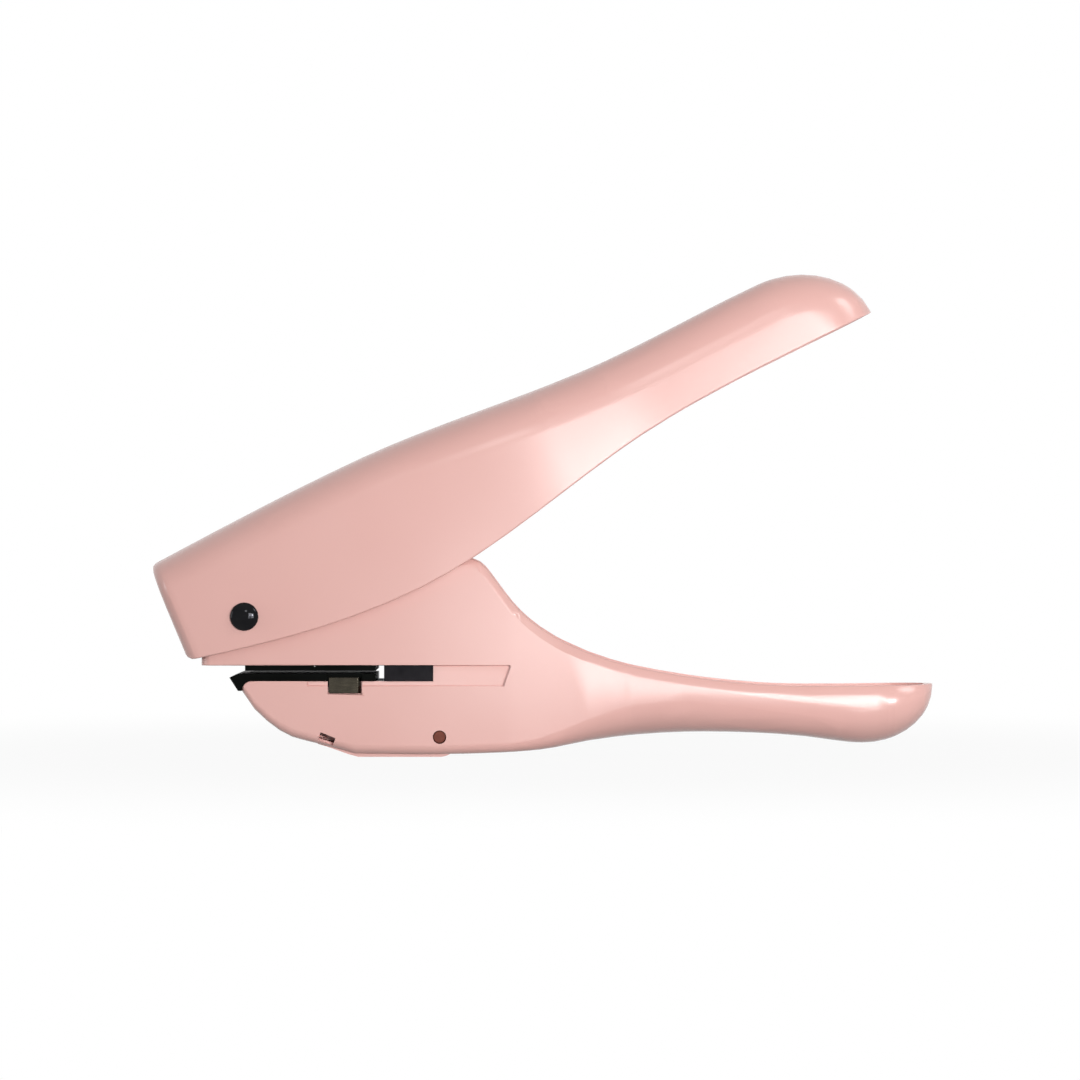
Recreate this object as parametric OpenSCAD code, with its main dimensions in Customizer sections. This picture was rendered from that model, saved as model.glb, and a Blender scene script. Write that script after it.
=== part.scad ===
// Disc binding punch: a hand punch that cuts one mushroom-shaped hole at a time in the edge of a sheet.
// +X runs from the nose to the grips, +Y away from the viewer and +Z up. The origin lies under the
// middle of the punch, on the surface that it stands on. Lengths are millimetres, angles degrees.

/* [Pivot and squeeze] */
// Distance of the pivot ahead of the origin
pivot_ahead = 79.9; // [77.9:0.1:81.9]
// Height of the pivot above the surface
pivot_h = 37.8; // [36.6:0.2:39.6]
// Diameter of the pivot rivet's shank
pivot_d = 5; // [3.6:0.2:6]
// Diameter of the rivet's domed heads
rivet_head_d = 7.6; // [6.6:0.2:10]
// Height of the rivet's domed heads
rivet_head_h = 1.7; // [1:0.1:2.6]
// Angle of the open handle above level
open_angle = 25; // [23:0.5:27]
// Angle that the handle turns when it is squeezed
squeeze_angle = 14; // [10:0.5:15]

/* [Handle] */
// Distance from the pivot forward to the nose
nose_reach = 18.8; // [18:0.2:23]
// Distance from the pivot back to the tip of the handle
handle_reach = 187.6; // [170:0.2:205]
// Wall of the handle shell
handle_wall = 2.2; // [1.6:0.1:3]
// Height of the nose's top edge over the pivot
nose_h = 23.4; // [22:0.2:26]
// Height of the crest over the head
crest_h = 25.7; // [24:0.2:28]
// Height of the back at the waist of the grip
waist_h = 21.6; // [20:0.2:23]
// Height of the back where the domed end starts
crown_h = 22.9; // [21:0.2:25]
// Length of the domed end
dome_len = 24.6; // [20:0.2:30]
// Depth of the cheeks' lower edge below the pivot line
belly_depth = 13; // [11.6:0.2:14]
// Height of the lower edge at the tip over the pivot line
tip_rise = 3; // [1:0.2:5]
// Width of the handle's grip
handle_grip_w = 25.2; // [22:0.2:28]
// Height of the rounded back
back_round = 12; // [8:0.5:15]
// Radius of the nose's upright edges
nose_round = 4; // [3:0.2:6]

/* [Body] */
// Distance from the pivot forward to the front of the head
head_ahead = 11.8; // [10.5:0.1:12.4]
// Height of the head's rear top edge
head_h = 53.5; // [51:0.2:55]
// Distance from the pivot back to the end of the grip
tail_reach = 185.4; // [165:0.2:200]
// Height of the grip's rim
rim_h = 19; // [17:0.2:21]
// Height of the grip's underside at the waist
waist_rise = 6.5; // [5:0.1:8]
// Height of the grip's underside near the tail
tail_rise = 3.5; // [2:0.1:5]
// Length of the rounded tail
tail_len = 19; // [15:0.2:24]
// Width of the body's grip
body_grip_w = 24; // [21:0.2:26]
// Wall of the body shell
body_wall = 2.2; // [1.6:0.1:2.6]
// Radius of the head's lower edges
keel_round = 2.6; // [1.6:0.1:3.2]
// Radius of the grip's lower edges
grip_round = 9; // [6:0.2:10]
// Width of the bevel along the rim's outer edge
rim_bevel = 1.5; // [0.6:0.1:1.5]
// Height over which that bevel falls
rim_fall = 2.6; // [1:0.1:3]

/* [Paper slot] */
// Height of the slot's floor, which is the top of the lower jaw
slot_floor_h = 20.4; // [19.4:0.1:21]
// Thickness of the die plate
die_t = 2; // [1.8:0.1:2.6]
// Gap for the paper
paper_gap = 0.8; // [0.6:0.1:1.4]
// Thickness of the guide plate
guide_t = 1.4; // [1.4:0.1:2]
// Distance from the pivot back to the paper stop
stop_reach = 37.3; // [35:0.1:39]
// Length of the stop block
stop_len = 13.2; // [11:0.1:15]
// Gap between the plates and the stop, where the stem is cut
stem_gap = 2.2; // [1:0.1:2.4]
// Distance of the die plate's lip ahead of the pivot
lip_ahead = 4.2; // [3.4:0.1:6]
// How much deeper the sloping recess is at the slot's upper edge than at its lower one
recess_depth = 1; // [0.6:0.1:1.4]
// Length of the sloping recess
recess_len = 54.4; // [46:0.2:57]
// Distance of the recess's front end behind the pivot
recess_back = 16.8; // [14:0.1:20]

/* [Punched hole] */
// Depth of the hole from the edge of the sheet
hole_depth = 7.2; // [6:0.1:8]
// Width of the hole's mushroom head
hole_head_w = 6.4; // [5.4:0.1:7]
// Radius of the mushroom head's rounded side
hole_head_r = 3.9; // [3.6:0.1:5]
// Width of the hole's stem
hole_stem_w = 3.4; // [2.4:0.1:4]
// Length of the hole's stem
hole_stem_len = 3.2; // [2.4:0.1:4]

/* [Steel parts] */
// Thickness of the lever's sheet
lever_t = 1.5; // [1.2:0.1:2]
// Thickness of the frame plates
frame_t = 1.6; // [1.2:0.1:2]
// Diameter of the drive pin
drive_d = 3.2; // [2.4:0.1:3.6]
// Outer diameter of the return spring
spring_d = 13.6; // [13.2:0.1:15]
// Wire of the return spring
spring_wire = 0.8; // [0.6:0.05:0.8]
// Number of the spring's coils
spring_coils = 4; // [3:1:4]
// Thickness of the guide block
block_t = 4; // [3.6:0.1:4.4]
// Diameter of the frame's cross rivets
cross_d = 2.6; // [2:0.1:2.8]
// Shank diameter of the small screws
screw_d = 2.8; // [2.2:0.1:3]
// Head diameter of the small screws
screw_head_d = 4.8; // [4.2:0.1:5.2]

/* [Hole locator] */
// Width of the sliding strip
strip_w = 6; // [4.5:0.1:6.4]
// Thickness of the sliding strip
strip_t = 1; // [0.8:0.1:1.4]
// Width of the finger tab
tab_w = 8.6; // [7:0.1:9]
// Height of the finger tab
tab_h = 4.2; // [3:0.1:5]
// Distance of the tab's front edge behind the pivot
tab_back = 22.5; // [22:0.1:23.2]

/* [Chip cover] */
// Distance of the cover's front edge behind the pivot
cover_back = 19.4; // [18:0.1:20.4]
// Distance of the cover's hinge pin behind the pivot
hinge_back = 52.2; // [50.4:0.1:54]
// Height of the hinge pin
hinge_h = 5.4; // [5:0.1:6]
// Diameter of the hinge pin
hinge_d = 3.6; // [2.6:0.1:4]
// Thickness of the cover
cover_t = 1.6; // [1.2:0.1:2]
// How far the cover stands below the body's walls
cover_proud = 0.8; // [0.4:0.1:1.4]

/* [Fits] */
// Radial clearance of a pin that turns in its hole
run_fit = 0.05; // [0.02:0.01:0.1]
// Radial clearance of a pin that is fixed in its hole
tight_fit = 0.02; // [0.01:0.01:0.04]
// Gap between pieces that slide past each other
slide_gap = 0.3; // [0.2:0.05:0.4]
// Gap between the cheeks of the handle and the body
cheek_gap = 0.4; // [0.3:0.05:0.6]

/* [Hidden] */
$fn = 64;

// Overlap of a cut past the face that it opens
past = 1;
// Slant that separates a step's two edges along a loft
step_draft = 0.15;

// Widths, from the middle outwards, each half of the whole
spring_room = 0.4;
shell_fit = 0.2;
lever_in = spring_d / 2 + spring_room;
lever_out = lever_in + lever_t;
frame_in = lever_out + slide_gap;
frame_out = frame_in + frame_t;
body_in = frame_out + shell_fit;
body_out = body_in + body_wall;
plate_half = body_out - shell_fit;
handle_in = body_out + cheek_gap;
handle_out = handle_in + handle_wall;

// Places along the body
jaw_lead = 1;
column_len = 11;
bulkhead_gap = 2;
pivot_x = -pivot_ahead;
pivot_z = pivot_h;
stop_x = pivot_x + stop_reach;
plate_rear_x = stop_x - stem_gap;
stop_rear_x = stop_x + stop_len;
die_front_x = pivot_x - lip_ahead;
head_front_x = pivot_x - head_ahead;
jaw_front_x = pivot_x - jaw_lead;
tail_x = pivot_x + tail_reach;
tail_start_x = tail_x - tail_len;
hinge_x = pivot_x + hinge_back;
cover_front_x = pivot_x + cover_back;
frame_rear_x = stop_rear_x + column_len;
bulkhead_x = frame_rear_x + bulkhead_gap;

// Heights of the paper slot
die_z = slot_floor_h + die_t;
guide_z = die_z + paper_gap;
slot_top_z = guide_z + guide_t;

// Punch, its stroke and what drives it
punch_x = stop_x - hole_depth / 2;
drive_arm = punch_x - pivot_x;
stroke = 2 * drive_arm * sin(squeeze_angle / 2);
drive_z = pivot_z + drive_arm * sin(squeeze_angle / 2);
drive_x = pivot_x + drive_arm * cos(squeeze_angle / 2);
drive_play = 0.1;
drive_swing = drive_arm - drive_arm * cos(squeeze_angle / 2);
punch_edge = 0.3;
punch_past_die = 0.3;
punch_low_z = slot_floor_h - punch_past_die + stroke;
cap_flange_t = 1.4;
cap_roof = 1.6;
cap_d = 10.4;
cap_low_z = drive_z - drive_d / 2 - drive_play - cap_flange_t;
cap_top_z = drive_z + drive_d / 2 + drive_play + cap_roof;
cap_stop_gap = 0.4;
boss_top_z = cap_low_z - stroke - cap_stop_gap;
rings_a_coil = 8;
spring_mean_r = (spring_d - spring_wire) / 2;
spring_ring = 0.3;
boss_d = 2 * spring_mean_r * cos(180 / rings_a_coil) - spring_wire - 2 * spring_ring;
spring_seat_t = 1.6;
spring_seat_z = slot_top_z + spring_seat_t;
spring_pocket_d = spring_d + 2 * spring_ring;

// Smooth curve through points of [place, height, slope]
function hermite(a, b, x) =
    let (run = b[0] - a[0], t = (x - a[0]) / run, t2 = t * t, t3 = t2 * t)
    (2 * t3 - 3 * t2 + 1) * a[1] + (t3 - 2 * t2 + t) * run * a[2]
    + (3 * t2 - 2 * t3) * b[1] + (t3 - t2) * run * b[2];
function along(curve, x, i = 0) =
    x <= curve[0][0] ? curve[0][1]
    : i >= len(curve) - 1 ? curve[i][1]
    : x <= curve[i + 1][0] ? hermite(curve[i], curve[i + 1], x)
    : along(curve, x, i + 1);
// Share of the way from a to b, eased at both ends or only at the far end
function share(a, b, x) = min(1, max(0, (x - a) / (b - a)));
function smooth(a, b, x) = let (t = share(a, b, x)) t * t * (3 - 2 * t);
function settle(a, b, x) = let (t = share(a, b, x)) t * (2 - t);
function mix(a, b, t) = a + (b - a) * t;
// How far an edge of radius r falls back at a distance d from its end
function fallback(r, d) = d >= r ? 0 : r - sqrt(r * r - (r - d) * (r - d));
// Share of the full width that a rounded end has left, from 1 where it starts to 0 at its tip
end_power = 2.5;
function rounded_end(s) = s <= 0 ? 1 : s >= 1 ? 0 : pow(1 - pow(s, end_power), 1 / end_power);
// Share of the full height that an elliptical end has left
function elliptic_end(s) = s <= 0 ? 1 : s >= 1 ? 0 : sqrt(1 - s * s);
function sorted(list) =
    len(list) <= 1 ? list
    : let (pivot = list[floor(len(list) / 2)])
    concat(
        sorted([for (v = list) if (v < pivot) v]),
        [for (v = list) if (v == pivot) v],
        sorted([for (v = list) if (v > pivot) v])
    );
least_step = 0.12;
function drop_repeats(list) =
    [for (i = [0 : len(list) - 1]) if (i == 0 || list[i] - list[i - 1] > least_step) list[i]];
function mirrored(half) = [for (p = half) [-p[0], p[1]]];
function reversed(list) = [for (i = [len(list) - 1 : -1 : 0]) list[i]];
// Level row of points across the part, for a section that is solid
function flat_line(half, z, count) = [for (i = [0 : count - 1]) [half * (2 * i / (count - 1) - 1), z]];
// Both edges of each rib along a loft, with the slanted step on either side
function rib_stations(ribs, t) = [
    for (r = ribs, d = [-t / 2 - step_draft, -t / 2, t / 2, t / 2 + step_draft]) r + d
];
function on_rib(ribs, t, x) = len([for (r = ribs) if (abs(x - r) < (t + step_draft) / 2) r]) > 0;
// Height at which a clip leaves a section as it is
no_clip = 1000;

// Closed channel through rings that list the outer side first and then the inner side backwards
module channel_loft(rings) {
    n = len(rings);
    k = len(rings[0]);
    m = k / 2;
    last = (n - 1) * k;
    sides = [
        for (i = [0 : n - 2], j = [0 : k - 1])
            let (a = i * k + j, b = i * k + (j + 1) % k)
            each [[a, b + k, b], [a, a + k, b + k]]
    ];
    front = [
        for (j = [0 : m - 2])
            let (b = k - 1 - j)
            each 2 * j < m - 1 ? [[j, j + 1, b], [j + 1, b - 1, b]] : [[j, j + 1, b - 1], [j, b - 1, b]]
    ];
    rear = [
        for (j = [0 : m - 2])
            let (a = last + j, b = last + k - 1 - j)
            each 2 * j < m - 1 ? [[a, b, a + 1], [a + 1, b, b - 1]] : [[a, b - 1, a + 1], [a, b, b - 1]]
    ];
    polyhedron([for (r = rings) each r], concat(sides, front, rear));
}

// Extrudes a side view, drawn in X and Z, across the part between two places along Y
module across(y0, y1) {
    translate([0, y1, 0]) rotate([90, 0, 0]) linear_extrude(y1 - y0) children();
}
module round_across(x, z, d, y0, y1) {
    translate([x, y0, z]) rotate([-90, 0, 0]) cylinder(d = d, h = y1 - y0);
}
module both_sides() {
    children();
    mirror([0, 1, 0]) children();
}
// The handle and what it carries are drawn level, with the pivot at the origin
module on_handle() {
    translate([pivot_x, 0, pivot_z]) rotate([0, -open_angle, 0]) children();
}

// Handle shell: an inverted channel with a leaning nose, a rounded back and a domed end
dome_start_u = handle_reach - dome_len;
crest_u = 45;
waist_u = 118;
belly_u = 43;
rim_mid_u = 123;
nose_rim_depth = 4.2;
nose_corner = 1.8;
nose_edge = 1.2;
nose_lean = 0.04;
cheek_end_u = 78;
narrow_end_u = 128;
plan_round_len = 16;
back_power = 2.4;
back_share = 0.7;
back_steps = 8;
tip_angle = 86;
hollow_end_angle = 78;
handle_hollow_start = -nose_reach + handle_wall;
handle_hollow_end = dome_start_u + (dome_len - handle_wall) * sin(hollow_end_angle);
handle_rib_t = 1.6;
handle_rib_depth = 6;
handle_ribs = [95.5, 113.5, 131.5, 149.5, 165];
pad_len = 7;
lever_web_top = 12.5;
lever_screw_u = [19, 57];
handle_back = [
    [-nose_reach, nose_h, 0.05],
    [crest_u, crest_h, 0],
    [waist_u, waist_h, 0],
    [dome_start_u, crown_h, 0]
];
handle_edge = [
    [-nose_reach, -nose_rim_depth, -0.24],
    [belly_u, -belly_depth, 0],
    [rim_mid_u, 0, 0.12],
    [handle_reach, tip_rise, 0.04]
];
function dome_share(u, inset) = elliptic_end((u - dome_start_u) / (dome_len - inset));
function handle_rim(u) = along(handle_edge, u) + fallback(nose_corner, u + nose_reach);
function handle_top(u, inset) =
    let (rim = along(handle_edge, u))
    rim + (along(handle_back, u) - inset - rim) * dome_share(u, inset)
    - (inset == 0 ? fallback(nose_edge, u + nose_reach) : 0);
function handle_half(u, inset) =
    let (
        full = mix(handle_out, handle_grip_w / 2, smooth(cheek_end_u, narrow_end_u, u)) - inset,
        tip = handle_reach - inset,
        start = handle_reach - plan_round_len
    )
    full * rounded_end((u - start) / (tip - start))
    - (inset == 0 ? fallback(nose_round, u + nose_reach) : 0);
// Half of a section from the rim up to just short of the middle of the back
function handle_side(u, inset) =
    let (
        half = handle_half(u, inset),
        rim = handle_rim(u),
        top = handle_top(u, inset),
        rise = min(back_round - inset / 2, (top - rim) * back_share)
    )
    concat([[half, rim]], [
        for (k = [0 : back_steps - 1])
            let (a = 90 * k / back_steps)
            [half * pow(cos(a), 2 / back_power), top - rise + rise * pow(sin(a), 2 / back_power)]
    ]);
function handle_section(u, inset) =
    let (side = handle_side(u, inset))
    concat(side, [[0, handle_top(u, inset)]], reversed(mirrored(side)));
function handle_ceiling(u) =
    on_rib(lever_screw_u, pad_len, u) ? lever_web_top
    : on_rib(handle_ribs, handle_rib_t, u) ? handle_rim(u) + handle_rib_depth
    : no_clip;
function handle_inner(u) =
    let (outer = handle_half(u, 0))
    u < handle_hollow_start || u > handle_hollow_end
    ? flat_line(min(handle_wall, outer / 3) - outer, handle_rim(u), 2 * (back_steps + 1) + 1)
    : [for (p = handle_section(u, handle_wall)) [p[0], min(p[1], max(handle_ceiling(u), handle_rim(u)))]];
// Near the nose the sections lean back with height
function lean_at(u) = nose_lean * (1 - smooth(-nose_reach, 0, u));
function handle_ring(u) =
    let (ring = concat(handle_section(u, 0), reversed(handle_inner(u))))
    [for (p = ring) [u + lean_at(u) * (p[1] - handle_rim(u)), p[0], p[1]]];
handle_pitch = 9;
nose_steps = 4;
end_steps = 9;
cheek_start_u = -8;
handle_stations = drop_repeats(sorted(concat(
    [for (i = [0 : nose_steps]) -nose_reach + nose_round * (1 - cos(90 * i / nose_steps))],
    [handle_hollow_start - step_draft, handle_hollow_start],
    [handle_hollow_end, handle_hollow_end + step_draft],
    [for (u = [cheek_start_u : handle_pitch : dome_start_u - handle_pitch / 2]) u],
    rib_stations(lever_screw_u, pad_len),
    rib_stations(handle_ribs, handle_rib_t),
    [for (i = [0 : end_steps]) dome_start_u + dome_len * sin(tip_angle * i / end_steps)]
)));
screw_len = 6;
module handle_shell() {
    color("#e2b3ac") on_handle() difference() {
        channel_loft([for (u = handle_stations) handle_ring(u)]);
        round_across(0, 0, pivot_d + 2 * run_fit, -handle_out - past, handle_out + past);
        for (u = lever_screw_u)
            translate([u, 0, lever_web_top - past])
                cylinder(d = screw_d + 2 * tight_fit, h = screw_len + past);
    }
}

// Lever: a steel channel under the handle's back, on the pivot, with the drive pin across it
lever_eye_r = 7;
drive_eye_r = 4;
lever_rear_u = 66;
lever_rear_depth = 6;
lever_front_lean = 40;
lever_edge_lean = 5;
drive_eye_lean = 35;
drive_u = drive_arm * cos(squeeze_angle / 2 - open_angle);
drive_w = drive_arm * sin(squeeze_angle / 2 - open_angle);
module lever_cheek() {
    difference() {
        union() {
            circle(r = lever_eye_r);
            translate([drive_u, drive_w]) circle(r = drive_eye_r);
            polygon([
                [-lever_eye_r * sin(lever_front_lean), lever_eye_r * cos(lever_front_lean)],
                [0, lever_web_top],
                [lever_rear_u, lever_web_top],
                [lever_rear_u, lever_web_top - lever_rear_depth],
                [drive_u + drive_eye_r * cos(drive_eye_lean), drive_w - drive_eye_r * sin(drive_eye_lean)],
                [drive_u - drive_eye_r * sin(lever_edge_lean), drive_w - drive_eye_r * cos(lever_edge_lean)],
                [-lever_eye_r * sin(lever_edge_lean), -lever_eye_r * cos(lever_edge_lean)]
            ]);
        }
        circle(d = pivot_d + 2 * run_fit);
        translate([drive_u, drive_w]) circle(d = drive_d + 2 * tight_fit);
    }
}
module lever() {
    color("#b9bcc0") on_handle() difference() {
        union() {
            both_sides() across(-lever_out, -lever_in) lever_cheek();
            translate([0, -lever_out, lever_web_top - lever_t])
                cube([lever_rear_u, 2 * lever_out, lever_t]);
        }
        for (u = lever_screw_u)
            translate([u, 0, lever_web_top - lever_t - past])
                cylinder(d = screw_d + 2 * run_fit, h = lever_t + 2 * past);
    }
}
module drive_pin() {
    color("#d5d7da") round_across(drive_x, drive_z, drive_d, -lever_out, lever_out);
}
screw_head_t = 1.5;
screw_end_gap = 0.4;
module lever_screws() {
    color("#c9ccd0") on_handle() for (u = lever_screw_u)
        translate([u, 0, lever_web_top - lever_t]) {
            translate([0, 0, -screw_head_t]) cylinder(d = screw_head_d, h = screw_head_t);
            cylinder(d = screw_d, h = lever_t + screw_len - screw_end_gap);
        }
}
module pivot_rivet() {
    dome_r = (pow(rivet_head_d / 2, 2) + pow(rivet_head_h, 2)) / (2 * rivet_head_h);
    seat = handle_out + run_fit;
    color("#dfe1e4") translate([pivot_x, 0, pivot_z]) {
        round_across(0, 0, pivot_d, -seat, seat);
        both_sides() translate([0, seat, 0]) rotate([-90, 0, 0]) rotate_extrude()
            intersection() {
                translate([0, rivet_head_h - dome_r]) circle(r = dome_r);
                square([rivet_head_d, rivet_head_h + past]);
            }
    }
}

// Body shell: head, lower jaw and grip as one channel that opens upwards
// Both lines of it are points of [distance behind the pivot, height, slope]
head_front_h = 40;
head_pivot_h = 47;
head_mid_h = 49.5;
shoulder_h = head_h - 3;
neck_high = 39.4;
neck_low = 28.9;
grip_start_h = rim_h + 2.9;
tail_h = rim_h + 0.4;
head_end = 58.6;
neck_end = 77;
body_crest = [
    [-head_ahead, head_front_h, 1.2],
    [0, head_pivot_h, 0.25],
    [18, head_mid_h, 0.1],
    [head_end, head_h, -0.05],
    [64.8, shoulder_h, -1.25],
    [73.5, neck_high, -1],
    [89.7, neck_low, -0.44],
    [116.6, grip_start_h, -0.16],
    [151.6, rim_h, 0],
    [tail_reach, tail_h, 0.02]
];
keel_z = cover_proud;
jaw_corner_r = 2.6;
jaw_corner_in = 0.1;
jaw_front_h = slot_floor_h - jaw_corner_r;
chin_h = 11.9;
jaw_h = keel_z + 4.1;
keel_lead_h = keel_z + 0.1;
keel_mid_h = keel_z + 1.15;
keel_rear_h = keel_z + 3.3;
grip_sag_len = 16;
grip_sag_h = mix(waist_rise, tail_rise, 0.4);
keel_start = 29.6;
keel_flat = 32;
tail_start = tail_reach - tail_len;
body_keel = [
    [-jaw_lead, jaw_front_h, -1.6],
    [3.3, chin_h, -0.95],
    [14.1, jaw_h, -0.25],
    [keel_start, keel_lead_h, -0.3],
    [keel_flat, keel_z, 0],
    [hinge_back + hinge_h, keel_z, 0.03],
    [79.6, keel_mid_h, 0.1],
    [91.6, keel_rear_h, 0.15],
    [124.6, waist_rise, 0],
    [tail_start - grip_sag_len, grip_sag_h, -0.1],
    [tail_start, tail_rise, 0]
];
head_round = 2.5;
head_trim = 1;
waist_from = 71;
waist_to = 115;
round_from = 70;
round_to = 110;
tail_plan_len = 15;
slope_step = 0.5;
least_round = 0.6;
keel_share = 0.6;
keel_width_share = 0.85;
lip_share = 0.25;
keel_steps = 5;
rim_points = 2;
body_hollow_start = head_front_x + body_wall;
body_hollow_end = tail_start_x + (tail_len - body_wall) * sin(hollow_end_angle);
body_rib_t = 1.6;
body_rib_drop = 8;
body_ribs = [for (d = [84, 102.8, 122.2, 141.7, 161, 173.6]) pivot_x + d];
bulkhead_h = 34;
function body_top(x) = along(body_crest, x - pivot_x);
function keel_at(x) = along(body_keel, x - pivot_x);
function body_bottom(x, inset) =
    x < jaw_front_x ? slot_top_z + (inset == 0 ? -head_trim : inset)
    : let (
        slope = (keel_at(x + slope_step) - keel_at(x - slope_step)) / (2 * slope_step),
        line = keel_at(x) + inset * sqrt(1 + slope * slope),
        rim = body_top(x)
    )
    rim - (rim - line) * elliptic_end((x - tail_start_x) / (tail_len - inset));
function body_half(x, inset) =
    let (
        full = mix(body_out, body_grip_w / 2, settle(waist_from, waist_to, x - pivot_x)) - inset,
        tip = tail_x - inset,
        start = tail_x - tail_plan_len
    )
    full * rounded_end((x - start) / (tip - start))
    - (inset == 0 ? fallback(head_round, x - head_front_x) : 0);
// Half of a section from the rim down to just short of the middle of the keel
function body_side(x, inset) =
    let (
        half = body_half(x, inset),
        top = body_top(x),
        low = body_bottom(x, inset),
        edge = x < jaw_front_x ? least_round
            : mix(keel_round, grip_round, smooth(round_from, round_to, x - pivot_x)),
        round = min(max(edge - inset, least_round), (top - low) * keel_share, half * keel_width_share),
        bevel = inset == 0 ? min(rim_bevel, (top - low) * lip_share) : 0,
        fall = min(rim_fall, (top - low) * lip_share)
    )
    concat(
        [[half - bevel, top], [half, top - fall]],
        [for (k = [0 : keel_steps]) let (a = 90 * k / keel_steps)
            [half - round * (1 - cos(a)), low + round * (1 - sin(a))]]
    );
function body_section(x, inset) =
    let (side = body_side(x, inset))
    concat(mirrored(side), [[0, body_bottom(x, inset)]], reversed(side));
function body_floor(x) =
    on_rib([bulkhead_x], body_rib_t, x) ? bulkhead_h
    : on_rib(body_ribs, body_rib_t, x) ? body_top(x) - body_rib_drop
    : -no_clip;
function body_inner(x) =
    let (outer = body_half(x, 0), top = body_top(x))
    x < body_hollow_start || x > body_hollow_end
    ? flat_line(outer - min(body_wall, outer / 3), top, 2 * (keel_steps + rim_points + 1) + 1)
    : [for (p = body_section(x, body_wall)) [p[0], max(p[1], min(body_floor(x), top))]];
function body_ring(x) =
    [for (p = concat(body_section(x, 0), reversed(body_inner(x)))) [x, p[0], p[1]]];
head_steps = 3;
jaw_wall = 0.8;
jaw_pitch = 3.4;
head_pitch = 9;
neck_pitch = 2.2;
grip_pitch = 6.5;
body_stations = drop_repeats(sorted(concat(
    [for (i = [0 : head_steps]) head_front_x + head_round * (1 - cos(90 * i / head_steps))],
    [body_hollow_start - step_draft, body_hollow_start],
    [body_hollow_end, body_hollow_end + step_draft],
    [jaw_front_x - jaw_wall],
    [for (x = [jaw_front_x : jaw_pitch : pivot_x + keel_start - jaw_pitch]) x],
    [for (x = [pivot_x + keel_start : head_pitch : pivot_x + head_end - neck_pitch / 2]) x],
    [for (x = [pivot_x + head_end : neck_pitch : pivot_x + neck_end]) x],
    [for (x = [pivot_x + neck_end + neck_pitch : grip_pitch : tail_start_x - neck_pitch]) x],
    rib_stations(concat([bulkhead_x], body_ribs), body_rib_t),
    [for (i = [0 : end_steps]) tail_start_x + tail_len * sin(tip_angle * i / end_steps)]
)));
recess_cut_t = 6;
recess_step = 0.4;
recess_drop = 1.2;
recess_low_z = slot_floor_h - recess_drop;
recess_slope = atan(recess_depth / (slot_top_z - recess_low_z));
recess_end_slant = 1.9;
groove_w = 0.7;
groove_depth = 1.7;
line_w = 0.3;
line_depth = 0.9;
window_l = 4.3;
window_h = 2.2;
window_tilt = 22;
window_back = 2.5;
window_x = cover_front_x + window_back;
window_z = 4.9;
cover_side_gap = 0.3;
cover_lead = 10;
cover_lead_share = 0.15;
function cover_low(x) =
    let (share = mix(cover_lead_share, 1, smooth(cover_front_x, cover_front_x + cover_lead, x)))
    max(0, keel_at(x) - cover_proud * share);
cover_half = body_in - cover_side_gap;
hinge_room = 0.4;
opening_front_x = cover_front_x - cover_side_gap;
opening_rear_x = hinge_x + hinge_h + hinge_room;
opening_h = cover_low(cover_front_x) + cover_t + cover_side_gap;
latch_t = 5;
latch_top_z = 7;
latch_inset = 4;
latch_room = 0.6;
latch_half = cover_half - latch_inset;
// Wedge above the lower jaw's edge that leads the sheet in, with a groove along its slanting end
// and a fine line along its other edges
groove_lap = 0.2;
module recess_cut() {
    front = pivot_x + recess_back;
    rear = front + recess_len;
    high = slot_top_z - recess_low_z;
    translate([0, recess_step - body_out, recess_low_z]) rotate([-recess_slope, 0, 0])
        across(-recess_cut_t, 0)
        polygon([
            [front, 0],
            [rear - recess_end_slant, 0],
            [rear, high],
            [front, high]
        ]);
    translate([groove_lap, groove_depth - body_out, recess_low_z - groove_lap])
        across(-recess_cut_t, 0)
        polygon([
            [rear - recess_end_slant - groove_w, 0],
            [rear - recess_end_slant, 0],
            [rear, high],
            [rear - groove_w, high]
        ]);
    translate([front - line_w / 2, line_depth - body_out, recess_low_z - line_w / 2])
        across(-recess_cut_t, 0) {
            square([recess_len - recess_end_slant, line_w]);
            square([line_w, recess_drop + line_w]);
        }
}
// Rounded upper corner of the jaw's front, which the die plate's lip wraps
module jaw_corner(grow) {
    translate([jaw_front_x + jaw_corner_in + jaw_corner_r, jaw_front_h]) circle(r = jaw_corner_r + grow);
}
module jaw_corner_cut() {
    across(-body_out - past, body_out + past) difference() {
        translate([jaw_front_x - past, jaw_front_h])
            square([jaw_corner_in + jaw_corner_r + past, jaw_corner_r + past]);
        jaw_corner(0);
    }
}
module slot_cut() {
    translate([head_front_x - past, -body_out - past, slot_floor_h])
        cube([stop_rear_x - head_front_x + past, 2 * (body_out + past), slot_top_z - slot_floor_h]);
}
module body_shell() {
    color("#e4b5ad") difference() {
        channel_loft([for (x = body_stations) body_ring(x)]);
        slot_cut();
        jaw_corner_cut();
        both_sides() recess_cut();
        translate([opening_front_x, -body_in, -past])
            cube([opening_rear_x - opening_front_x, 2 * body_in, opening_h + past]);
        translate([opening_front_x, -latch_half - cover_side_gap, -past])
            cube([
                latch_t + 2 * cover_side_gap,
                2 * (latch_half + cover_side_gap),
                latch_top_z + latch_room + past
            ]);
        strip_cut();
        tab_cut();
        translate([window_x, -body_out, window_z]) rotate([0, window_tilt, 0])
            cube([window_l, 2 * (body_wall + past), window_h], center = true);
        round_across(pivot_x, pivot_z, pivot_d + 2 * tight_fit, -body_out - past, body_out + past);
        round_across(hinge_x, hinge_h, hinge_d + 2 * tight_fit, -body_out - past, body_out + past);
    }
}

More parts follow.
